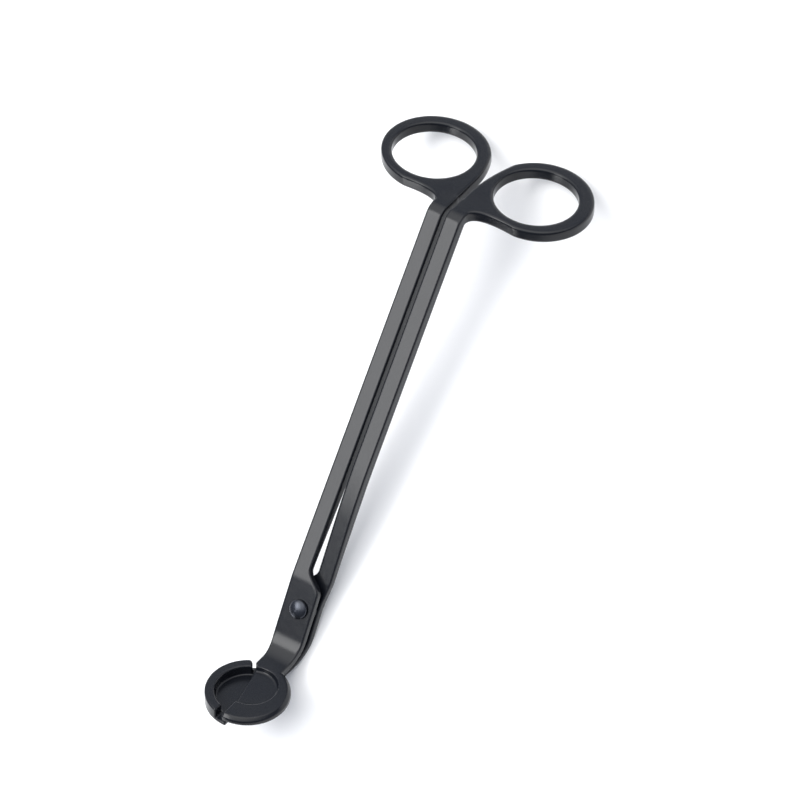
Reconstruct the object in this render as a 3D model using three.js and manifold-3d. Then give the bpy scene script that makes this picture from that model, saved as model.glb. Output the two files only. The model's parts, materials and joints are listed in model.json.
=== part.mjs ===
// Wick trimmer: two forged steel levers on one rivet, with a round two-part cutting head.
//
// The levers are described as the tool is held, with the head level: X to the right, Y from the
// head towards the finger rings, Z up, origin at the middle of the head on the level of its rim.
// The last group lays the tool down on its rivet tail and its two finger rings.
// All sizes are in millimetres and all angles in radians.

import * as THREE from "three";
import { mergeVertices } from "three/addons/utils/BufferGeometryUtils.js";
import Module from "manifold-3d";

const wasm = await Module();
wasm.setup();

// Side view of both levers: level head, steep plates, sloping bars, level finger rings.
const plateAngle = THREE.MathUtils.degToRad(60);
const shaftAngle = THREE.MathUtils.degToRad(53.4);
const neckReach = 6; // edge of the head to the corner of the neck
const pivotReach = 13.25; // corner of the neck to the rivet
const plateReach = 8.5; // rivet to the corner between the plates and the bars
const barLength = 111.3; // that corner to the corner below the finger rings
const ringReach = 19.5; // that corner to the middle of a finger ring
const neckRadius = 8;
const shoulderRadius = 8; // bend between the plates and the bars
const ringBendRadius = 4.5;

// Bars of the shaft.
const barWidth = 4.9;
const barGap = 1.2; // between the two bars of the closed tool
const barThickness = 3.5;
const edgeEase = 0.5; // eased edges of the bars

// Plates that the rivet goes through, and the neck below them.
const plateEdge = 4.3; // centre line to the edge of a plate that the shoulder runs out to
const lowerPlateRight = 4.5; // centre line to the outer edge of the lower plate
const plateThickness = 2.4;
const plateGap = 0.9; // between the upper and the lower plate
const shoulderFoot = 6.5; // rivet to the wide end of a shoulder
const shoulderTop = 11; // rivet to the narrow end of a shoulder
const dipLength = 28.5; // the lower bar runs on straight from its plate over this length
const neckLeft = 4.5; // centre line to the left edge of the neck
const neckRight = 3.8; // centre line to its right edge
const lowerNeckRight = 3.3;
const neckStart = 8; // rivet to the place where the plates start to turn into the neck
const neckSettled = 17; // rivet to the place where the neck has the section of the head
const neckRoot = 2; // the neck runs this far into the edge of the head

// Rivet and spacer washer.
const shankDiameter = 3;
const shankPlay = 0.3; // round the shank
const rivetHeadDiameter = 5.6;
const rivetHeadHeight = 1.6;
const rivetHeadEdge = 0.3; // straight edge below the dome
const rivetTailDiameter = 5.2;
const rivetTailHeight = 1.1;
const rivetTailEdge = 0.2;
const seatPlay = 0.2; // between faces that lie on each other
const spacerDiameter = 8;

// Finger rings.
const fingerWidth = 24.3; // finger hole, across the tool
const fingerLength = 22.4; // finger hole, along the tool
const ringBand = 3.7;
const ringFrontBand = 2.9; // band on the side of the bars
const ringInnerBand = 4.3; // band beside the other ring, where its outline is straight
const upperRingStraight = 3; // the straight ends this far before the middle of the finger hole
const lowerRingStraight = 10;
const upperRingShift = 0.4; // middle of the ring's round outline, to the right of its hole's
const lowerRingShift = 0.7;
const ringThickness = 3.7;
const ringEase = 0.9; // rounded edges of the rings
const ringGap = 1.4; // between the flat inner sides of the two rings
const ringRoundStart = THREE.MathUtils.degToRad(32); // the round outline starts past the straight
const ringRoundEnd = THREE.MathUtils.degToRad(266); // and ends at the fillet
const barIntoRing = 5; // the bars run this far into the level part
const ringFillet = 4.5; // between the outer side of a bar and its ring

// Cutting head.
const headRadius = 12.05;
const jawDepth = 2.4; // thickness of the upper jaw
const bladeThickness = 1;
const bladeGap = 0.7; // between the upper and the lower blade
const bladeOverlap = 1; // lower blade under the upper one, across the cutting edge
const scoopRadius = 7.4; // round hollow in the upper jaw
const scoopForward = 2; // its centre, from the middle of the head towards the neck
const cutBack = -3.7; // cutting edge at the neck, from the centre line
const cutFront = -0.2; // cutting edge at the toe, from the centre line
const cutDepth = 2.05; // edge of the head to the back end of the slanted cutting edge
const tongueLeft = 4.8; // edge of the head to the front of the lower tongue, on the left
const tongueRight = 3.4; // and on the right
const tongueFlare = 1; // the tongue's front corner stands this far out on the left
const tongueLap = 0.5; // the tongue runs this far under the neck
const rimWidth = 2.85; // rim of the lower jaw
const rimBack = THREE.MathUtils.degToRad(118); // rim of the lower jaw starts beside the neck
const rimFront = THREE.MathUtils.degToRad(257); // and ends before the toe of the upper jaw
const rimSlant = THREE.MathUtils.degToRad(3.5); // its front end is cut on a slant

const cornerSteps = 14; // sides of a quarter round
const latheSteps = 28; // sides of the rivet and the washer
const bevelSteps = 2; // facets of a rounded edge

const blackSteel = { color: 0x3b3d41, roughness: 0.48, metalness: 0.75 };
const blackPlate = { color: 0x34363a, roughness: 0.5, metalness: 0.7 };
const rivetSteel = { color: 0x46484c, roughness: 0.34, metalness: 0.85 };
const washerSteel = { color: 0x2b2c2e, roughness: 0.55, metalness: 0.6 };

// ---- solids ----

function solid(geometry) {
  const bare = geometry.clone();
  for (const name of Object.keys(bare.attributes)) {
    if (name !== "position") bare.deleteAttribute(name);
  }
  const merged = mergeVertices(bare, 1e-4);
  return new wasm.Manifold(
    new wasm.Mesh({
      numProp: 3,
      vertProperties: new Float32Array(merged.attributes.position.array),
      triVerts: new Uint32Array(merged.index.array),
    }),
  );
}

function join(first, ...others) {
  return others.reduce((all, other) => all.add(other), first);
}

function part(name, body, look) {
  const { numProp, numVert, vertProperties, triVerts } = body.getMesh();
  const places = new Float32Array(numVert * 3);
  for (let i = 0; i < numVert; i++) {
    places.set(vertProperties.subarray(i * numProp, i * numProp + 3), i * 3);
  }
  const geometry = new THREE.BufferGeometry();
  geometry.setAttribute("position", new THREE.BufferAttribute(places, 3));
  geometry.setIndex(new THREE.BufferAttribute(new Uint32Array(triVerts), 1));
  geometry.computeVertexNormals();
  const mesh = new THREE.Mesh(geometry, new THREE.MeshStandardMaterial(look));
  mesh.name = name;
  return mesh;
}

// An outline in the level plane, extruded from one height up to another.
function slab(shape, low, high, round = 0) {
  const geometry = new THREE.ExtrudeGeometry(shape, {
    depth: high - low - 2 * round,
    curveSegments: cornerSteps,
    bevelEnabled: round > 0,
    bevelThickness: round,
    bevelSize: round,
    bevelOffset: -round,
    bevelSegments: bevelSteps,
  });
  return solid(geometry.translate(0, 0, low + round));
}

// ---- the line of the levers ----

const headReach = headRadius + neckReach;
const neckTangent = neckRadius * Math.tan(plateAngle / 2);
const shoulderTangent = shoulderRadius * Math.tan((plateAngle - shaftAngle) / 2);
const ringTangent = ringBendRadius * Math.tan(shaftAngle / 2);

// Places along the line, from the rivet: towards the rings is positive.
const neckTop = neckTangent - pivotReach;
const neckFoot = neckTop - neckRadius * plateAngle;
const headPlace = neckFoot - (headReach - neckTangent);
const shoulderBend = plateReach - shoulderTangent;
const barFoot = shoulderBend + shoulderRadius * (plateAngle - shaftAngle);
const bendFoot = barFoot + barLength - shoulderTangent - ringTangent;
const bendTop = bendFoot + ringBendRadius * shaftAngle;

const pivotY = headReach + pivotReach * Math.cos(plateAngle);
const pivotZ = pivotReach * Math.sin(plateAngle);
const ringCornerY = pivotY + plateReach * Math.cos(plateAngle) + barLength * Math.cos(shaftAngle);
const ringLevel = pivotZ + plateReach * Math.sin(plateAngle) + barLength * Math.sin(shaftAngle);
const ringY = ringCornerY + ringReach;

// Where each stretch of the line starts, its slope there, and how fast it turns upwards.
const stretches = [
  { start: headPlace, slope: 0, turn: 0 },
  { start: neckFoot, slope: 0, turn: 1 / neckRadius },
  { start: neckTop, slope: plateAngle, turn: 0 },
  { start: shoulderBend, slope: plateAngle, turn: -1 / shoulderRadius },
  { start: barFoot, slope: shaftAngle, turn: 0 },
  { start: bendFoot, slope: shaftAngle, turn: -1 / ringBendRadius },
  { start: bendTop, slope: 0, turn: 0 },
];

function along({ y, z, slope, turn }, way) {
  const end = slope + turn * way;
  if (turn === 0) {
    return { y: y + way * Math.cos(slope), z: z + way * Math.sin(slope), slope };
  }
  return {
    y: y + (Math.sin(end) - Math.sin(slope)) / turn,
    z: z + (Math.cos(slope) - Math.cos(end)) / turn,
    slope: end,
  };
}

stretches.forEach((stretch, i) => {
  const before = stretches[i - 1];
  const place = before ? along(before, stretch.start - before.start) : { y: 0, z: 0 };
  stretch.y = place.y;
  stretch.z = place.z;
});

// Place and slope of the line, a distance from the rivet.
function leverLine(distance) {
  const stretch = stretches.findLast(({ start }) => start <= distance);
  return along(stretch, distance - stretch.start);
}

// A bar along that line. section(distance) gives its left and right edge and its top and bottom,
// measured from the line of the upper lever's top face.
function sweptBar(distances, section) {
  const places = [];
  for (const distance of distances) {
    const { y, z, slope } = leverLine(distance);
    const { left, right, top, bottom } = section(distance);
    const round = Math.min(edgeEase, (top - bottom) / 3);
    const corners = [
      [left + round, bottom],
      [right - round, bottom],
      [right, bottom + round],
      [right, top - round],
      [right - round, top],
      [left + round, top],
      [left, top - round],
      [left, bottom + round],
    ];
    for (const [x, rise] of corners) {
      places.push(x, y - rise * Math.sin(slope), z + rise * Math.cos(slope));
    }
  }
  const sides = 8;
  const faces = [];
  for (let i = 0; i + 1 < distances.length; i++) {
    for (let j = 0; j < sides; j++) {
      const a = i * sides + j;
      const b = i * sides + ((j + 1) % sides);
      faces.push(a, b + sides, b, a, a + sides, b + sides);
    }
  }
  const last = (distances.length - 1) * sides;
  for (let j = 1; j + 1 < sides; j++) {
    faces.push(0, j, j + 1, last, last + j + 1, last + j);
  }
  const geometry = new THREE.BufferGeometry();
  geometry.setAttribute("position", new THREE.Float32BufferAttribute(places, 3));
  geometry.setIndex(faces);
  return solid(geometry);
}

function spread(from, to, count) {
  return Array.from({ length: count + 1 }, (_, i) => from + ((to - from) * i) / count);
}

function mix(from, to, share) {
  return THREE.MathUtils.lerp(from, to, THREE.MathUtils.clamp(share, 0, 1));
}

function smoothMix(from, to, share) {
  return mix(from, to, THREE.MathUtils.smoothstep(share, 0, 1));
}

const barOuter = barGap / 2 + barWidth;
const barInner = barGap / 2;
const dipTop = plateReach + dipLength;
const lowerTop = -(plateThickness + plateGap);
const bladeBottom = -(jawDepth + bladeGap + bladeThickness);
const lowerFloor = bladeBottom + bladeThickness;

// Distances at which both levers have a section, from the head to the rings.
const barPlaces = [
  headPlace + headRadius - neckRoot,
  ...spread(neckFoot, neckTop, 8),
  -neckStart,
  0,
  shoulderFoot / 2,
  shoulderFoot,
  ...spread(shoulderBend, barFoot, 2),
  ...spread(shoulderTop, dipTop, 8),
  ...spread(bendFoot, bendTop, 6),
  bendTop + barIntoRing,
].sort((a, b) => a - b);

// Edge of a lever on the side that widens from the bar to the plate.
function shoulderEdge(distance) {
  const share = (distance - shoulderFoot) / (shoulderTop - shoulderFoot);
  return mix(plateEdge, -barInner, share);
}

function neckShare(distance) {
  return (-distance - neckStart) / (neckSettled - neckStart);
}

function upperSection(distance) {
  const down = neckShare(distance);
  const thin = (distance - plateReach) / dipLength;
  const depth = mix(plateThickness, jawDepth, down);
  const plateRight = smoothMix(plateEdge, neckRight, down);
  return {
    left: -smoothMix(barOuter, neckLeft, down),
    right: distance > shoulderFoot ? shoulderEdge(distance) : plateRight,
    top: 0,
    bottom: -smoothMix(depth, barThickness, thin),
  };
}

function lowerSection(distance) {
  const down = neckShare(distance);
  const rise = (distance - plateReach) / dipLength;
  const plateTop = mix(lowerTop, lowerFloor, down);
  const plateLeft = smoothMix(plateEdge, neckLeft, down);
  const plateRight = smoothMix(lowerPlateRight, barOuter, distance / shoulderTop);
  const depth = mix(plateThickness, bladeThickness, down);
  const top = distance > plateReach ? mix(lowerTop, 0, rise) : plateTop;
  return {
    left: distance > shoulderFoot ? -shoulderEdge(distance) : -plateLeft,
    right: smoothMix(plateRight, lowerNeckRight, down),
    top,
    bottom: top - smoothMix(depth, barThickness, rise),
  };
}

// ---- finger rings ----

// Outline of the left ring with the end of its bar, seen from above: its straight inner side ends
// before the middle of the finger hole, and its round outline may be shifted to the right.
function ringShape(straight, shift) {
  const holeX = fingerWidth / 2;
  const holeY = fingerLength / 2;
  const outX = holeX + ringBand;
  const outY = holeY + (ringBand + ringFrontBand) / 2;
  const inner = -ringGap / 2;
  const centreX = inner - ringInnerBand - holeX;
  const outerX = centreX + shift;
  const outerY = ringY + (ringBand - ringFrontBand) / 2;
  const straightEnd = ringY - straight;
  const roundX = outerX + outX * Math.cos(ringRoundStart);
  const roundY = outerY + outY * Math.sin(ringRoundStart);
  const barStart = ringCornerY + ringTangent;
  const outer = new THREE.Shape();
  outer.moveTo(inner, barStart);
  outer.lineTo(inner, straightEnd);
  outer.quadraticCurveTo(inner, (straightEnd + roundY) / 2, roundX, roundY);
  outer.absellipse(outerX, outerY, outX, outY, ringRoundStart, ringRoundEnd, false);
  outer.quadraticCurveTo(-barOuter, barStart + ringFillet, -barOuter, barStart);
  const hole = new THREE.Path();
  hole.absellipse(centreX, ringY, holeX, holeY, 0, 2 * Math.PI, true);
  outer.holes.push(hole);
  return outer;
}

function leftRing(straight, shift) {
  return slab(ringShape(straight, shift), ringLevel - ringThickness, ringLevel, ringEase);
}

// ---- cutting head ----

function circleAt(x, y, radius) {
  const shape = new THREE.Shape();
  shape.absarc(x, y, radius, 0, 2 * Math.PI);
  return shape;
}

function polygon(points) {
  return new THREE.Shape(points.map(([x, y]) => new THREE.Vector2(x, y)));
}

// Everything to the right of the cutting edge, moved aside by a shift.
function rightOfEdge(shift) {
  const far = 2 * headRadius;
  return polygon([
    [cutBack + shift, far],
    [cutBack + shift, headRadius - cutDepth],
    [cutFront + shift, scoopForward - scoopRadius],
    [cutFront + shift, -far],
    [far, -far],
    [far, far],
  ]);
}

function scoop() {
  return slab(circleAt(0, scoopForward, scoopRadius), bladeThickness - jawDepth, jawDepth);
}

// Upper jaw: the right half of the head.
function upperJaw() {
  const disc = slab(circleAt(0, 0, headRadius), -jawDepth, 0);
  return disc.intersect(slab(rightOfEdge(0), -2 * jawDepth, jawDepth));
}

// Lower jaw: the left half, a raised rim round a thin floor that runs under the upper blade.
function lowerJaw() {
  const inner = headRadius - rimWidth;
  const rim = new THREE.Shape();
  rim.absarc(0, 0, headRadius, rimBack, rimFront, false);
  rim.absarc(0, 0, inner, rimFront - rimSlant, rimBack, true);
  const floor = slab(circleAt(0, 0, headRadius), bladeBottom, lowerFloor);
  const under = slab(rightOfEdge(bladeOverlap), 2 * bladeBottom, jawDepth);
  return slab(rim, bladeBottom, 0).add(floor.subtract(under));
}

// Flat tongue that ties the floor of the lower jaw to its neck.
function lowerTongue() {
  const back = headRadius - neckRoot + tongueLap;
  const frontLeft = headRadius - tongueLeft;
  return slab(
    polygon([
      [-neckLeft, back],
      [-neckLeft - tongueFlare, frontLeft],
      [cutBack + bladeOverlap, frontLeft],
      [lowerNeckRight, headRadius - tongueRight],
      [lowerNeckRight, back],
    ]),
    bladeBottom,
    lowerFloor,
  );
}

// ---- rivet and washer, on the pivot's own axis ----

const stackBottom = lowerTop - plateThickness;

function lathe(points) {
  const profile = points.map(([x, y]) => new THREE.Vector2(x, y));
  return new THREE.LatheGeometry(profile, latheSteps);
}

function onPivot(geometry) {
  geometry.rotateX(Math.PI / 2 + plateAngle);
  return solid(geometry.translate(0, pivotY, pivotZ));
}

// Turns of a quarter round.
const quarter = spread(0, Math.PI / 2, 5);

function pivotRivet() {
  const headEdge = rivetHeadDiameter / 2;
  const tailEdge = rivetTailDiameter / 2;
  const shank = shankDiameter / 2;
  const tail = stackBottom - seatPlay;
  const domeFoot = seatPlay + rivetHeadEdge;
  const domeRise = rivetHeadHeight - rivetHeadEdge;
  const peenFoot = tail - rivetTailEdge;
  const peenRise = rivetTailHeight - rivetTailEdge;
  const dome = quarter.map((turn) => [
    headEdge * Math.cos(turn),
    domeFoot + domeRise * Math.sin(turn),
  ]);
  const peen = quarter.map((turn) => [
    tailEdge * Math.sin(turn),
    peenFoot - peenRise * Math.cos(turn),
  ]);
  const steps = [
    [tailEdge, tail],
    [shank, tail],
    [shank, seatPlay],
    [headEdge, seatPlay],
  ];
  dome.at(-1)[0] = 0;
  return onPivot(lathe([...peen, ...steps, ...dome]));
}

function spacerWasher() {
  const inner = shankDiameter / 2 + shankPlay;
  const outer = spacerDiameter / 2;
  const high = -plateThickness - seatPlay;
  const low = lowerTop + seatPlay;
  return onPivot(lathe([[inner, low], [outer, low], [outer, high], [inner, high], [inner, low]]));
}

function rivetHole() {
  const radius = shankDiameter / 2 + shankPlay;
  const reach = plateThickness - lowerTop + seatPlay;
  return onPivot(lathe([[0, -reach], [radius, -reach], [radius, reach], [0, reach]]));
}

// ---- levers ----

function upperLever() {
  const bar = sweptBar(barPlaces, upperSection);
  const lever = join(bar, leftRing(upperRingStraight, upperRingShift), upperJaw());
  return lever.subtract(scoop()).subtract(rivetHole());
}

function lowerLever() {
  const bar = sweptBar(barPlaces, lowerSection);
  const ring = leftRing(lowerRingStraight, -lowerRingShift).mirror([1, 0, 0]);
  return join(bar, ring, lowerJaw(), lowerTongue()).subtract(rivetHole());
}

// ---- the tool, laid down ----

// The tool rests on the rivet tail and on the far ends of the finger rings.
const tailDepth = stackBottom - seatPlay - rivetTailHeight;
const tailY = pivotY - tailDepth * Math.sin(plateAngle);
const tailZ = pivotZ + tailDepth * Math.cos(plateAngle);
const ringEndY = ringY + fingerLength / 2 + ringBand - ringEase;
const ringEndZ = ringLevel - ringThickness;
const lieAngle = Math.atan2(ringEndZ - tailZ, ringEndY - tailY);

const held = new THREE.Group();
held.add(
  part("upper_lever", upperLever(), blackSteel),
  part("lower_lever", lowerLever(), blackPlate),
  part("pivot_rivet", pivotRivet(), rivetSteel),
  part("spacer_washer", spacerWasher(), washerSteel),
);
held.rotation.x = -lieAngle;

const trimmer = new THREE.Group();
trimmer.add(held);
const box = new THREE.Box3().setFromObject(trimmer, true);
held.position.set(-(box.min.x + box.max.x) / 2, -(box.min.y + box.max.y) / 2, -box.min.z);

export default trimmer;
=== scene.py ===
import json
import math

import bmesh
import bpy
import numpy as np
from mathutils import Matrix, Vector, noise


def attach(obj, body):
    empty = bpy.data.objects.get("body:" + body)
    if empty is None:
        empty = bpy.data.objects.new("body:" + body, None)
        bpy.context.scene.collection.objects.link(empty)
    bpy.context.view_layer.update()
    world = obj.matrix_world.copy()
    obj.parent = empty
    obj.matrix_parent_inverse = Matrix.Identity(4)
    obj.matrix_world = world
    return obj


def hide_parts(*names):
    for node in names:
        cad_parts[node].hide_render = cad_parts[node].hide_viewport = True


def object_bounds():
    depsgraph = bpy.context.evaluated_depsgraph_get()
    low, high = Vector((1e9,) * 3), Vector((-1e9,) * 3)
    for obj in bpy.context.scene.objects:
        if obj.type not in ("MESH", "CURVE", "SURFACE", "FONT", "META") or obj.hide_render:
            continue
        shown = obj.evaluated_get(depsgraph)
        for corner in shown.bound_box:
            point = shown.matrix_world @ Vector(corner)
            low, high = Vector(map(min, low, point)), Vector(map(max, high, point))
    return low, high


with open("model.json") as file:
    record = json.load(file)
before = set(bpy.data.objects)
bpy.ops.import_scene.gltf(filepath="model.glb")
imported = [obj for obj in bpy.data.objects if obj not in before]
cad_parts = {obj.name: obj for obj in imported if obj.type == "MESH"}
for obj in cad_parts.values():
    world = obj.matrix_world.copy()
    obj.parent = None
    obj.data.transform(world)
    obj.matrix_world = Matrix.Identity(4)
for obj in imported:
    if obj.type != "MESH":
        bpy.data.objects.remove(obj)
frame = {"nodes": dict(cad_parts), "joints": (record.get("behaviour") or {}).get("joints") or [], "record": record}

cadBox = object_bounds()
print("frame loaded:", ", ".join(sorted(frame["nodes"])))

# The levers are drawn as the tool is held, in millimetres: head level, X to the right,
# Y from the head to the finger rings, Z up, zero at the middle of the head on its rim.

# side view of both levers: level head, steep plates, sloping bars, level rings
side = {
    "plateAngle": 60,
    "shaftAngle": 53.4,
    "headRadius": 12.05,
    "neckReach": 6,  # edge of the head to the corner of the neck
    "pivotReach": 13.25,  # corner of the neck to the rivet
    "plateReach": 8.5,  # rivet to the corner between plates and bars
    "barLength": 111.3,  # that corner to the corner below the rings
    "ringReach": 19.5,  # that corner to the middle of a finger hole
    "neckRadius": 8,
    "shoulderRadius": 8,
    "ringBendRadius": 4.5,
}
plateAngle = math.radians(side["plateAngle"])
shaftAngle = math.radians(side["shaftAngle"])
headRadius = side["headRadius"]
headReach = headRadius + side["neckReach"]
neckTangent = side["neckRadius"] * math.tan(plateAngle / 2)
shoulderTangent = side["shoulderRadius"] * math.tan((plateAngle - shaftAngle) / 2)
ringTangent = side["ringBendRadius"] * math.tan(shaftAngle / 2)

# places along the line of the levers, from the rivet, rings positive
neckTop = neckTangent - side["pivotReach"]
neckFoot = neckTop - side["neckRadius"] * plateAngle
headPlace = neckFoot - (headReach - neckTangent)
shoulderBend = side["plateReach"] - shoulderTangent
barFoot = shoulderBend + side["shoulderRadius"] * (plateAngle - shaftAngle)
bendFoot = barFoot + side["barLength"] - shoulderTangent - ringTangent
bendTop = bendFoot + side["ringBendRadius"] * shaftAngle

# where each stretch starts, and how fast it turns upwards
stretches = [
    (headPlace, 0),
    (neckFoot, 1 / side["neckRadius"]),
    (neckTop, 0),
    (shoulderBend, -1 / side["shoulderRadius"]),
    (barFoot, 0),
    (bendFoot, -1 / side["ringBendRadius"]),
    (bendTop, 0),
]


def leverLine(distance):
    y = z = slope = 0.0
    for i, (start, turn) in enumerate(stretches):
        stop = stretches[i + 1][0] if i + 1 < len(stretches) else math.inf
        way = min(distance, stop) - start
        end = slope + turn * way
        if turn:
            y += (math.sin(end) - math.sin(slope)) / turn
            z += (math.cos(slope) - math.cos(end)) / turn
        else:
            y += way * math.cos(slope)
            z += way * math.sin(slope)
        slope = end
        if distance <= stop:
            return y, z, slope


pivotY, pivotZ = leverLine(0)[:2]
ringStart, ringLevel = leverLine(bendTop)[:2]
ringY = ringStart - ringTangent + side["ringReach"]

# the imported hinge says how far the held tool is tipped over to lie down, and where it lies
hinge = frame["joints"][0]
axis = Vector(hinge["axis"])
lieAngle = plateAngle - math.atan2(-axis.y, axis.z)
tipOver = Matrix.Rotation(-lieAngle, 4, "X")
millimetre = 0.001
layDown = (
    Matrix.Translation(Vector(hinge["pos_m"]))
    @ tipOver
    @ Matrix.Scale(millimetre, 4)
    @ Matrix.Translation(Vector((0, -pivotY, -pivotZ)))
)


def mix(start, end, share):
    return start + (end - start) * min(1, max(0, share))


def smoothMix(start, end, share):
    share = min(1, max(0, share))
    return mix(start, end, share * share * (3 - 2 * share))


def circle(x, y, radius, steps):
    turns = [2 * math.pi * i / steps for i in range(steps)]
    return [(x + radius * math.cos(t), y + radius * math.sin(t)) for t in turns]


def newPiece(bm, name):
    mesh = bpy.data.meshes.new(name)
    bm.to_mesh(mesh)
    bm.free()
    piece = bpy.data.objects.new(name, mesh)
    bpy.context.scene.collection.objects.link(piece)
    return piece


def settle(piece):
    # applies whatever modifiers the piece carries
    bpy.context.view_layer.update()
    graph = bpy.context.evaluated_depsgraph_get()
    mesh = bpy.data.meshes.new_from_object(piece.evaluated_get(graph))
    piece.modifiers.clear()
    old = piece.data
    piece.data = mesh
    bpy.data.meshes.remove(old)


def carve(piece, tool, operation="DIFFERENCE"):
    cut = piece.modifiers.new("cut", "BOOLEAN")
    cut.operation = operation
    cut.solver = "EXACT"
    cut.object = tool
    settle(piece)
    bpy.data.objects.remove(tool)


# edges of flat parts
edging = {
    "facets": 4,
    "sameLevel": 1e-4,  # corners this near to a level are on it
    "sharp": 0.5,  # faces that lean apart by more than this meet at an edge
}


def slab(name, outline, low, high, rounding=0, hole=None, chamfer=0):
    # a flat outline with a thickness, its edges rounded, or with one flat chamfer along the top
    bm = bmesh.new()
    edges = []
    for loop in [outline] + ([hole] if hole else []):
        corners = [bm.verts.new((x, y, low)) for x, y in loop]
        edges += [bm.edges.new((corners[i - 1], corners[i])) for i in range(len(corners))]
    bmesh.ops.triangle_fill(bm, use_beauty=True, edges=edges)
    grown = bmesh.ops.extrude_face_region(bm, geom=bm.faces[:])["geom"]
    lifted = [part for part in grown if isinstance(part, bmesh.types.BMVert)]
    bmesh.ops.translate(bm, vec=(0, 0, high - low), verts=lifted)
    bmesh.ops.recalc_face_normals(bm, faces=bm.faces[:])
    bottom = (low, rounding, edging["facets"])
    top = (high, chamfer, 1) if chamfer else (high, rounding, edging["facets"])
    for level, reach, facets in (bottom, top) if rounding else ():
        rims = []
        for edge in bm.edges:
            first, second = (abs(face.normal.z) for face in edge.link_faces)
            flat = all(abs(corner.co.z - level) < edging["sameLevel"] for corner in edge.verts)
            if flat and abs(first - second) > edging["sharp"]:
                rims.append(edge)
        bmesh.ops.bevel(bm, geom=rims, offset=reach, segments=facets, profile=0.5, affect="EDGES")
    return newPiece(bm, name)


def turned(name, profile, steps, closed=False):
    # a profile of (radius, height) points turned round an upright axis
    bm = bmesh.new()
    columns = []
    for step in range(steps):
        turn = 2 * math.pi * step / steps
        column = []
        for i, (radius, height) in enumerate(profile):
            onAxis = radius == 0
            if onAxis and step:
                column.append(columns[0][i])
            else:
                place = (radius * math.cos(turn), radius * math.sin(turn), height)
                column.append(bm.verts.new(place))
        columns.append(column)
    last = len(profile) if closed else len(profile) - 1
    for step in range(steps):
        here, there = columns[step], columns[(step + 1) % steps]
        for i in range(last):
            j = (i + 1) % len(profile)
            corners = dict.fromkeys((here[i], there[i], there[j], here[j]))
            bm.faces.new(corners)
    bmesh.ops.recalc_face_normals(bm, faces=bm.faces[:])
    return newPiece(bm, name)


def ontoPivot(piece):
    # moves a piece turned round the upright axis to the rivet's place, square to the plates
    standing = Matrix.Translation((0, pivotY, pivotZ)) @ Matrix.Rotation(plateAngle, 4, "X")
    piece.data.transform(standing)
    return piece


def finishMesh(piece):
    # lays a piece drawn on the held tool down on the table
    piece.data.transform(layDown)
    piece.data.polygons.foreach_set("use_smooth", [True] * len(piece.data.polygons))
    piece.data.update()
    return piece


# the parts of a lever flow together and every edge is eased
forging = {
    "grain": 0.24,  # size of the mesh's squares
    "rounds": 3,
    "ease": 0.5,
}


def forge(name, parts):
    bm = bmesh.new()
    for part in parts:
        bm.from_mesh(part.data)
        bpy.data.objects.remove(part)
    lever = newPiece(bm, name)
    blank = lever.modifiers.new("blank", "REMESH")
    blank.mode = "VOXEL"
    blank.voxel_size = forging["grain"]
    tumble = lever.modifiers.new("tumble", "SMOOTH")
    tumble.iterations = forging["rounds"]
    tumble.factor = forging["ease"]
    settle(lever)
    return finishMesh(lever)


bars = {
    "width": 4.9,
    "gap": 1.2,  # between the two bars
    "thickness": 3.5,
    "rounding": 0.35,
    "plateThickness": 2.4,
    "plateGap": 0.9,
    "plateEdge": 4.3,  # centre line to the edge that the shoulder runs out to
    "lowerPlateRight": 4.5,
    "shoulderFoot": 6.5,  # the shoulder starts and ends this far above the rivet
    "shoulderTop": 11,
    "shoulderEase": 0.9,  # roundness of the shoulder's two corners
    "dipLength": 28.5,  # the lower bar runs on straight from its plate over this length
    "dipEase": 9,  # and bends into line with the upper bar over twice this length
    "neckLeft": 4.5,
    "neckRight": 3.8,
    "lowerNeckRight": 3.3,
    "neckStart": 8,  # the necks narrow from here to here, below the rivet
    "neckSettled": 17,
    "neckRoot": 2,  # how far the necks reach into the head
    "intoRing": 5,
    "step": 0.6,  # from one section to the next
    "boreSteps": 72,
}
jaws = {
    "depth": 2.4,
    "blade": 1,  # thickness of either blade
    "bladeGap": 0.7,
    "bladeOverlap": 1,
    "rounding": 0.3,
    "floorRounding": 0.2,
    "slope": 0.9,  # chamfer along the top of the upper jaw
    "scoopRadius": 7.4,
    "scoopFloor": 7.1,
    "scoopForward": 2,
    "cutBack": -3.7,  # the cutting edge, sideways, at the neck and at the toe
    "cutFront": -0.2,
    "cutDepth": 2.05,  # and how far inside the head it starts
    "rimWidth": 2.85,
    "rimBack": 118,  # degrees round the head
    "rimFront": 257,
    "rimSlant": 3.5,
    "rimCorner": 1.3,  # roundness of the rim's corner beside the neck
    "tongueLeft": 4.8,
    "tongueRight": 3.4,
    "tongueFlare": 1,
    "tongueLap": 0.5,
    "steps": 160,
    "rimSteps": 70,
}
barInner = bars["gap"] / 2
barOuter = barInner + bars["width"]
lowerTop = -(bars["plateThickness"] + bars["plateGap"])
bladeBottom = -(jaws["depth"] + jaws["bladeGap"] + jaws["blade"])
lowerFloor = bladeBottom + jaws["blade"]


def shoulderEdge(distance):
    # widening edge between bar and plate, a mean over a short way, which eases its corners
    ease = bars["shoulderEase"]
    shifts = (-ease, -ease / 2, 0, ease / 2, ease)
    run = bars["shoulderTop"] - bars["shoulderFoot"]
    total = 0
    for shift in shifts:
        share = (distance + shift - bars["shoulderFoot"]) / run
        total += mix(bars["plateEdge"], -barInner, share)
    return total / len(shifts)


def neckShare(distance):
    return (-distance - bars["neckStart"]) / (bars["neckSettled"] - bars["neckStart"])


def dipShare(distance):
    return (distance - side["plateReach"]) / bars["dipLength"]


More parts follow.
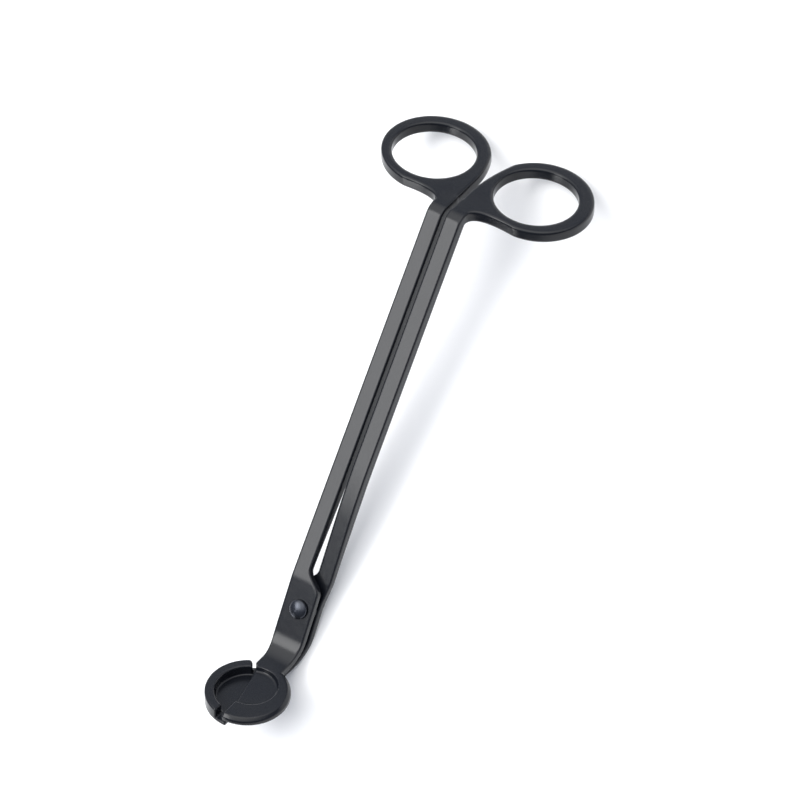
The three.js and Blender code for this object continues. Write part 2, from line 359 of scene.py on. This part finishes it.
# left, right, top and bottom of a lever's section at a distance from the rivet
def upperSection(distance):
    down = neckShare(distance)
    depth = mix(bars["plateThickness"], jaws["depth"], down)
    right = shoulderEdge(distance) + smoothMix(0, bars["neckRight"] - bars["plateEdge"], down)
    left = -smoothMix(barOuter, bars["neckLeft"], down)
    return left, right, 0, -smoothMix(depth, bars["thickness"], dipShare(distance))


def dipLeft(way):
    # share of the lower bar's dip that is left, this far above the plate
    length, ease = bars["dipLength"], bars["dipEase"]
    if way < length - ease:
        return 1 - max(0, way) / length
    return max(0, length + ease - way) ** 2 / (4 * ease * length)


def lowerSection(distance):
    down = neckShare(distance)
    plateRight = smoothMix(bars["lowerPlateRight"], barOuter, distance / bars["shoulderTop"])
    depth = mix(bars["plateThickness"], jaws["blade"], down)
    top = mix(lowerTop, lowerFloor, down)
    if distance > side["plateReach"]:
        top = lowerTop * dipLeft(distance - side["plateReach"])
    left = -shoulderEdge(distance) + smoothMix(0, bars["plateEdge"] - bars["neckLeft"], down)
    right = smoothMix(plateRight, bars["lowerNeckRight"], down)
    return left, right, top, top - smoothMix(depth, bars["thickness"], dipShare(distance))


def roundedSection(left, right, top, bottom):
    radius = min(bars["rounding"], (top - bottom) / 3)  # thin blades keep a flat middle
    steps = edging["facets"]
    corners = [
        (right - radius, top - radius, 0),
        (left + radius, top - radius, 90),
        (left + radius, bottom + radius, 180),
        (right - radius, bottom + radius, 270),
    ]
    points = []
    for x, z, first in corners:
        for i in range(steps + 1):
            turn = math.radians(first + 90 * i / steps)
            points.append((x + radius * math.cos(turn), z + radius * math.sin(turn)))
    return points


def sweptBar(name, section):
    start = headPlace + headRadius - bars["neckRoot"]
    end = bendTop + bars["intoRing"]
    bm = bmesh.new()
    rows = []
    for distance in np.linspace(start, end, round((end - start) / bars["step"])):
        y, z, slope = leverLine(distance)
        row = []
        for x, rise in roundedSection(*section(distance)):
            row.append(bm.verts.new((x, y - rise * math.sin(slope), z + rise * math.cos(slope))))
        rows.append(row)
    for here, there in zip(rows, rows[1:]):
        for i in range(len(here)):
            j = (i + 1) % len(here)
            bm.faces.new((here[i], here[j], there[j], there[i]))
    bm.faces.new(rows[0])
    bm.faces.new(rows[-1])
    bmesh.ops.recalc_face_normals(bm, faces=bm.faces[:])
    bar = newPiece(bm, name)
    reach = bars["plateThickness"] - lowerTop
    radius = rivet["shank"] / 2 + rivet["play"]
    profile = [(0, -reach), (radius, -reach), (radius, reach), (0, reach)]
    carve(bar, ontoPivot(turned("rivetBore", profile, bars["boreSteps"])))
    return bar


rings = {
    "fingerWidth": 24.3,
    "fingerLength": 22.4,
    "band": 3.68,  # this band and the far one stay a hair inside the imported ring
    "farBand": 3.56,
    "innerBand": 4.3,
    "frontBand": 2.9,  # on the side of the bars
    "upperStraight": 3,  # the straight inner side ends this far before the finger hole's middle
    "lowerStraight": 10,
    "upperShift": 0.4,  # each outline to the side of its finger hole
    "lowerShift": 0.7,
    "thickness": 3.7,
    "rounding": 0.6,
    "gap": 1.4,  # between the two rings
    "fillet": 4.5,  # from the bar into the web
    "roundStart": 32,  # degrees round the finger hole, between the inner straight and the web
    "roundEnd": 266,
    "steps": 100,
    "holeSteps": 120,
    "webSteps": 14,
}


def quadratic(start, bend, end, steps):
    # points on a curve from start to end that bends towards a third point, both ends left out
    points = []
    for i in range(1, steps):
        t = i / steps
        shares = (1 - t) ** 2, 2 * t * (1 - t), t * t
        points.append(tuple(np.dot(shares, parts) for parts in zip(start, bend, end)))
    return points


def fingerRing(name, straight, shift, sideways):
    # one ring with its web, drawn on the left and mirrored where sideways is -1
    holeX, holeY = rings["fingerWidth"] / 2, rings["fingerLength"] / 2
    outX, outY = holeX + rings["band"], holeY + (rings["farBand"] + rings["frontBand"]) / 2
    inner = -rings["gap"] / 2
    centreX = inner - rings["innerBand"] - holeX
    outerX = centreX + shift
    outerY = ringY + (rings["farBand"] - rings["frontBand"]) / 2

    def onRound(turn):
        return outerX + outX * math.cos(turn), outerY + outY * math.sin(turn)

    roundStart, roundEnd = math.radians(rings["roundStart"]), math.radians(rings["roundEnd"])
    first, last = onRound(roundStart), onRound(roundEnd)
    straightTop, barCorner = (inner, ringY - straight), (-barOuter, ringStart)
    innerBend = (inner, (straightTop[1] + first[1]) / 2)
    webBend = (-barOuter, ringStart + rings["fillet"])
    outline = [(inner, ringStart), straightTop]
    outline += quadratic(straightTop, innerBend, first, rings["webSteps"])
    outline += [onRound(t) for t in np.linspace(roundStart, roundEnd, rings["steps"])]
    outline += quadratic(last, webBend, barCorner, rings["webSteps"])
    outline += [barCorner]
    rounds = circle(0, 0, holeX, rings["holeSteps"])
    hole = [(centreX + x, ringY + y * holeY / holeX) for x, y in rounds]
    outline, hole = ([(sideways * x, y) for x, y in loop] for loop in (outline, hole))
    low = ringLevel - rings["thickness"]
    return slab(name, outline, low, ringLevel, rings["rounding"], hole)


def rightOfEdge(shift):
    # everything to the right of the cutting edge, well past the head
    far = 2 * headRadius
    outline = [
        (jaws["cutBack"] + shift, far),
        (jaws["cutBack"] + shift, headRadius - jaws["cutDepth"]),
        (jaws["cutFront"] + shift, jaws["scoopForward"] - jaws["scoopRadius"]),
        (jaws["cutFront"] + shift, -far),
        (far, -far),
        (far, far),
    ]
    return slab("edge", outline, 2 * bladeBottom, jaws["depth"])


def scoop():
    # round hollow with a sloping wall, down to the thin upper blade
    floor = jaws["blade"] - jaws["depth"]
    grow = (jaws["scoopRadius"] - jaws["scoopFloor"]) / -floor
    top = jaws["depth"]
    topRadius = jaws["scoopFloor"] + grow * (top - floor)
    profile = [(0, floor), (jaws["scoopFloor"], floor), (topRadius, top), (0, top)]
    hollow = turned("scoop", profile, jaws["steps"])
    hollow.data.transform(Matrix.Translation((0, jaws["scoopForward"], 0)))
    return hollow


def upperJaw():
    disc = circle(0, 0, headRadius, jaws["steps"])
    jaw = slab("upperJaw", disc, -jaws["depth"], 0, jaws["rounding"], chamfer=jaws["slope"])
    carve(jaw, rightOfEdge(0), "INTERSECT")
    carve(jaw, scoop())
    return jaw


def lowerRim():
    inner = headRadius - jaws["rimWidth"]
    back, front = math.radians(jaws["rimBack"]), math.radians(jaws["rimFront"])
    slant = math.radians(jaws["rimSlant"])
    shares = np.linspace(0, 1, jaws["rimSteps"])
    outline = []
    for share in shares:
        short = max(0, jaws["rimCorner"] - share * (front - back) * headRadius)
        drop = jaws["rimCorner"] - math.sqrt(jaws["rimCorner"] ** 2 - short**2)
        outline.append((headRadius - drop, mix(back, front, share)))
    outline += [(inner, mix(front - slant, back, share)) for share in shares]
    outline = [(radius * math.cos(turn), radius * math.sin(turn)) for radius, turn in outline]
    return slab("lowerRim", outline, bladeBottom, 0, jaws["rounding"])


def lowerFloorPlate():
    disc = circle(0, 0, headRadius, jaws["steps"])
    floor = slab("floor", disc, bladeBottom, lowerFloor, jaws["floorRounding"])
    carve(floor, rightOfEdge(jaws["bladeOverlap"]))
    return floor


def lowerTongue():
    # ties the lower neck to the floor
    back = headRadius - bars["neckRoot"] + jaws["tongueLap"]
    front = headRadius - jaws["tongueLeft"]
    outline = [
        (-bars["neckLeft"], back),
        (-bars["neckLeft"] - jaws["tongueFlare"], front),
        (jaws["cutBack"] + jaws["bladeOverlap"], front),
        (bars["lowerNeckRight"], headRadius - jaws["tongueRight"]),
        (bars["lowerNeckRight"], back),
    ]
    return slab("tongue", outline, bladeBottom, lowerFloor)


rivet = {
    "shank": 3,
    "play": 0.3,  # round the shank
    "seat": 0.2,  # to the plates, and from the plates to the washer
    "headWidth": 5.6,
    "headHeight": 1.6,
    "headEdge": 0.3,
    "headSlope": (0.12, 0.1),  # bevel under the head's edge
    "tailWidth": 5.2,
    "tailHeight": 1.1,
    "tailEdge": 0.2,
    "tailSlope": (0.1, 0.02),
    "dents": 0.05,  # hammer dents in the peened tail
    "dentsPerMillimetre": 1.1,
    "steps": 96,
    "headSteps": 22,
    "tailSteps": 16,
}
washer = {"width": 8, "rounding": 0.1, "steps": 96}


def makeRivet():
    head, tail, shank = rivet["headWidth"] / 2, rivet["tailWidth"] / 2, rivet["shank"] / 2
    seat = rivet["seat"]
    tailTop = lowerTop - bars["plateThickness"] - seat
    rise = rivet["headHeight"] - rivet["headEdge"]
    fall = rivet["tailHeight"] - rivet["tailEdge"]
    headIn, headUp = rivet["headSlope"]
    tailIn, tailUp = rivet["tailSlope"]
    profile = []
    for turn in np.linspace(0, math.pi / 2, rivet["tailSteps"]):
        profile.append((tail * math.sin(turn), tailTop - rivet["tailEdge"] - fall * math.cos(turn)))
    profile += [(tail, tailTop), (tail - tailIn, tailTop + tailUp), (shank, tailTop + tailUp)]
    profile += [(shank, seat), (head - headIn, seat), (head, seat + headUp)]
    for turn in np.linspace(0, math.pi / 2, rivet["headSteps"]):
        profile.append((head * math.cos(turn), seat + rivet["headEdge"] + rise * math.sin(turn)))
    profile[0] = (0, profile[0][1])
    profile[-1] = (0, profile[-1][1])
    piece = turned("domedRivet", profile, rivet["steps"])
    for corner in piece.data.vertices:
        if corner.co.z < tailTop and corner.co.xy.length < tail - tailIn:
            dent = abs(noise.noise(corner.co * rivet["dentsPerMillimetre"]))
            corner.co.z += rivet["dents"] * dent
    return finishMesh(ontoPivot(piece))


def makeWasher():
    inner = rivet["shank"] / 2 + rivet["play"]
    outer = washer["width"] / 2
    high = -bars["plateThickness"] - rivet["seat"]
    low = lowerTop + rivet["seat"]
    soft = washer["rounding"]
    profile = [
        (inner, low),
        (outer - soft, low),
        (outer, low + soft),
        (outer, high - soft),
        (outer - soft, high),
        (inner, high),
    ]
    return finishMesh(ontoPivot(turned("spacerWasher", profile, washer["steps"], closed=True)))


upperParts = [
    sweptBar("upperBar", upperSection),
    fingerRing("leftRing", rings["upperStraight"], rings["upperShift"], 1),
    upperJaw(),
]
upperLever = forge("upperLever", upperParts)
print("upper lever forged")

lowerParts = [
    sweptBar("lowerBar", lowerSection),
    fingerRing("rightRing", rings["lowerStraight"], -rings["lowerShift"], -1),
    lowerRim(),
    lowerFloorPlate(),
    lowerTongue(),
]
lowerLever = forge("lowerLever", lowerParts)
print("lower lever forged")

domedRivet = makeRivet()
spacerWasher = makeWasher()
print("rivet and washer turned")

packedBodies = frame["record"]["behaviour"]["bodies"]
for piece, node, slot in (
    (upperLever, "upper_lever", "black_coat_upper"),
    (lowerLever, "lower_lever", "black_coat_lower"),
    (domedRivet, "pivot_rivet", "rivet_coat"),
    (spacerWasher, "spacer_washer", "washer_steel"),
):
    body = next(name for name, nodes in packedBodies.items() if node in nodes)
    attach(piece, body)
    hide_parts(node)
    print(piece.name, "has", len(piece.data.polygons), "faces and rides", body)


class Wire:
    # one socket's value, so that sums and products on it read as such
    def __init__(self, tree, socket=None):
        self.tree = tree
        self.socket = socket

    def node(self, kind, settings=None, values=None, out=0):
        made = self.tree.nodes.new(kind)
        for name, value in (settings or {}).items():
            if name == "stops":
                ramp = made.color_ramp
                while len(ramp.elements) < len(value):
                    ramp.elements.new(0.5)
                for stop, (place, shade) in zip(ramp.elements, value):
                    stop.position = place
                    stop.color = shade
            else:
                setattr(made, name, value)
        for name, value in (values or {}).items():
            socket = made.inputs[name]
            if isinstance(value, Wire):
                self.tree.links.new(value.socket, socket)
            else:
                socket.default_value = value
        return Wire(self.tree, made.outputs[out]) if len(made.outputs) else made

    def calc(self, operation, first, second):
        return self.node("ShaderNodeMath", {"operation": operation}, {0: first, 1: second})

    def __add__(self, other):
        return self.calc("ADD", self, other)

    def __radd__(self, other):
        return self.calc("ADD", other, self)

    def __sub__(self, other):
        return self.calc("SUBTRACT", self, other)

    def __rsub__(self, other):
        return self.calc("SUBTRACT", other, self)

    def __mul__(self, other):
        return self.calc("MULTIPLY", self, other)

    def __rmul__(self, other):
        return self.calc("MULTIPLY", other, self)


def speckle(wire, place, size, detail, roughness=0.6):
    # cloudy noise whose lumps are about size millimetres
    scale = 1 / (size * millimetre)
    values = {"Vector": place, "Scale": scale, "Detail": detail, "Roughness": roughness}
    return wire.node("ShaderNodeTexNoise", None, values)


def blend(wire, share, first, second):
    # two colours mixed by a share; the node's sockets 6 and 7 are the colours
    kind = {"data_type": "RGBA"}
    return wire.node("ShaderNodeMix", kind, {0: share, 6: first, 7: second}, out=2)


def vector(wire, operation, first, second=None, out=0):
    values = {0: first} if second is None else {0: first, 1: second}
    return wire.node("ShaderNodeVectorMath", {"operation": operation}, values, out)


def bump(wire, height, distance, under=None):
    values = {"Height": height, "Distance": distance, "Strength": 1}
    if under:
        values["Normal"] = under
    return wire.node("ShaderNodeBump", None, values)


def coated(name, finish, look):
    # a material whose shader's sockets come from a finish
    material = bpy.data.materials.new(name)
    material.use_nodes = True
    material.node_tree.nodes.clear()
    wire = Wire(material.node_tree)
    place = wire.node("ShaderNodeTexCoord", out="Object")
    shader = wire.node("ShaderNodeBsdfPrincipled", None, finish(wire, place, look))
    wire.node("ShaderNodeOutputMaterial", None, {"Surface": shader})
    return material


# satin black coating on forged steel
satinBlack = {
    "coat": (0.0034, 0.0046, 0.0078, 1),
    "coatWarm": (0.0058, 0.0064, 0.0080, 1),
    "rubbed": (0.045, 0.046, 0.049, 1),
    "roughness": 0.21,
    "roughSpread": 0.08,
    "metal": 0.0,
    "specular": 0.29,
    "cloudSize": 9,  # lumps of each noise, in millimetres
    "grainSize": 0.35,
    "grainRoughness": 0.7,
    "pitSize": 1.05,
    "pitDepth": 0.6,
    "wavesSize": 6,
    "grainHeight": 0.00001,  # metres
    "wavesHeight": 0.00002,
    "edgeFrom": 0.52,  # how pointed an edge is where wear starts and where it is full
    "edgeTo": 0.60,
    "wear": 0.15,
}


def satinFinish(wire, place, look):
    clouds = speckle(wire, place, look["cloudSize"], detail=4)
    grain = speckle(wire, place, look["grainSize"], detail=4, roughness=look["grainRoughness"])
    pits = speckle(wire, place, look["pitSize"], detail=2)
    waves = speckle(wire, place, look["wavesSize"], detail=2)
    # edges rubbed a little lighter by handling
    edge = wire.node("ShaderNodeNewGeometry", out="Pointiness")
    span = {"Value": edge, "From Min": look["edgeFrom"], "From Max": look["edgeTo"]}
    rubbed = wire.node("ShaderNodeMapRange", None, span) * clouds * look["wear"]
    coat = blend(wire, clouds, look["coat"], look["coatWarm"])
    fine = bump(wire, grain + pits * look["pitDepth"], look["grainHeight"])
    return {
        "Base Color": blend(wire, rubbed, coat, look["rubbed"]),
        "Roughness": look["roughness"] + (grain + clouds - 1) * look["roughSpread"],
        "Metallic": look["metal"],
        "Specular IOR Level": look["specular"],
        "Normal": bump(wire, waves, look["wavesHeight"], fine),
    }


# turned and pressed steel under a thinner, glossier black coating, with faint lathe rings
turnedBlack = {
    "coat": (0.018, 0.021, 0.029, 1),
    "rubbed": (0.06, 0.064, 0.074, 1),
    "roughness": 0.16,
    "roughSpread": 0.06,
    "metal": 0.8,
    "cloudSize": 1.5,
    "grainSize": 0.25,
    "latheStep": 0.12,  # millimetres from one lathe mark to the next
    "latheHeight": 0.000003,
    "grainHeight": 0.000008,
}
oiledSteel = turnedBlack | {
    "coat": (0.02, 0.02, 0.021, 1),
    "roughness": 0.38,
    "metal": 0.4,
    "latheStep": 0.2,
}


def turnedFinish(wire, place, look):
    fromPivot = vector(wire, "SUBTRACT", place, hinge["pos_m"])
    across = vector(wire, "CROSS_PRODUCT", fromPivot, hinge["axis"])
    radius = vector(wire, "LENGTH", across, out="Value")
    marks = wire.calc("SINE", radius * (2 * math.pi / (look["latheStep"] * millimetre)), 0)
    clouds = speckle(wire, place, look["cloudSize"], detail=4)
    grain = speckle(wire, place, look["grainSize"], detail=3)
    lathe = bump(wire, marks, look["latheHeight"])
    return {
        "Base Color": blend(wire, clouds, look["coat"], look["rubbed"]),
        "Roughness": look["roughness"] + (clouds + grain - 1) * look["roughSpread"],
        "Metallic": look["metal"],
        "Normal": bump(wire, grain + clouds, look["grainHeight"], lathe),
    }


for piece, name, finish, look in (
    (upperLever, "satinBlackUpper", satinFinish, satinBlack),
    (lowerLever, "satinBlackLower", satinFinish, satinBlack),
    (domedRivet, "glossBlackRivet", turnedFinish, turnedBlack),
    (spacerWasher, "oiledWasher", turnedFinish, oiledSteel),
):
    piece.data.materials.append(coated(name, finish, look))
print("finishes mixed")


studio = {
    "floorSize": 3,
    "floorShade": (0.9, 0.9, 0.9, 1),
    "floorRoughness": 0.9,
    "floorGloss": 0.1,
    "sky": [(0, (0.06, 0.066, 0.08, 1)), (0.5, (0.14, 0.155, 0.19, 1)), (1, (1, 1, 1, 1))],
    "skyStrength": 3,
    "skyLean": (-0.1, 0.45, 0.89),  # towards the brightest part of the room
    "key": {"power": 6.2, "size": (0.7, 0.42), "distance": 1.0, "from": (-0.42, -0.20, 0.885)},
    "front": {"power": 0.25, "size": (0.16, 0.07), "distance": 0.5, "from": (-0.42, -0.90, 0.08)},
}


def softFloor():
    half = studio["floorSize"] / 2
    corners = ((-half, -half, 0), (half, -half, 0), (half, half, 0), (-half, half, 0))
    bm = bmesh.new()
    bm.faces.new([bm.verts.new(corner) for corner in corners])
    floor = newPiece(bm, "paleFloor")
    material = bpy.data.materials.new("paleFloor")
    material.use_nodes = True
    shader = material.node_tree.nodes["Principled BSDF"]
    shader.inputs["Base Color"].default_value = studio["floorShade"]
    shader.inputs["Roughness"].default_value = studio["floorRoughness"]
    shader.inputs["Specular IOR Level"].default_value = studio["floorGloss"]
    floor.data.materials.append(material)


def paleRoom():
    room = bpy.data.worlds.new("paleRoom")
    bpy.context.scene.world = room
    room.use_nodes = True
    room.node_tree.nodes.clear()
    wire = Wire(room.node_tree)
    direction = wire.node("ShaderNodeTexCoord", out="Generated")
    height = vector(wire, "DOT_PRODUCT", direction, studio["skyLean"], out="Value")
    shade = wire.node("ShaderNodeValToRGB", {"stops": studio["sky"]}, {"Fac": height})
    glow = {"Color": shade, "Strength": studio["skyStrength"]}
    light = wire.node("ShaderNodeBackground", None, glow)
    wire.node("ShaderNodeOutputWorld", None, {"Surface": light})


def softPanel(name, panel, aim):
    lamp = bpy.data.lights.new(name, "AREA")
    lamp.shape = "RECTANGLE"
    lamp.size, lamp.size_y = panel["size"]
    lamp.energy = panel["power"]
    holder = bpy.data.objects.new(name, lamp)
    bpy.context.scene.collection.objects.link(holder)
    back = Vector(panel["from"]).normalized()
    holder.location = aim + back * panel["distance"]
    holder.rotation_euler = back.to_track_quat("Z", "Y").to_euler()


middle = (cadBox[0] + cadBox[1]) / 2
softFloor()
paleRoom()
softPanel("keyPanel", studio["key"], middle)
softPanel("frontPanel", studio["front"], middle)

# the camera looks at the held tool from the right and from above
camera = {
    "turn": 35.05,
    "lift": 42.78,
    "lens": 400,
    "sensor": 36,
    "width": 222.2,  # millimetres across the view, at the tool
    "aimRight": 42.33,
    "aimUp": 80.4,
    "near": 0.01,
    "far": 20,
}


def placeCamera():
    turn, lift = math.radians(camera["turn"]), math.radians(camera["lift"])
    along, across = math.cos(turn), math.sin(turn)
    right = Vector((along, across, 0))
    up = Vector((-across * math.sin(lift), along * math.sin(lift), math.cos(lift)))
    back = right.cross(up)
    aim = right * camera["aimRight"] + up * camera["aimUp"]
    distance = camera["width"] * camera["lens"] / camera["sensor"]
    place = layDown @ (aim + back * distance)
    facing = tipOver.to_3x3() @ Matrix((right, up, back)).transposed()
    lens = bpy.data.cameras.new("camera")
    lens.lens = camera["lens"]
    lens.sensor_width = camera["sensor"]
    lens.clip_start = camera["near"]
    lens.clip_end = camera["far"]
    holder = bpy.data.objects.new("camera", lens)
    bpy.context.scene.collection.objects.link(holder)
    holder.matrix_world = Matrix.Translation(place) @ facing.to_4x4()
    bpy.context.scene.camera = holder


placeCamera()
bpy.context.scene.view_settings.view_transform = "Standard"
print("light and camera set")
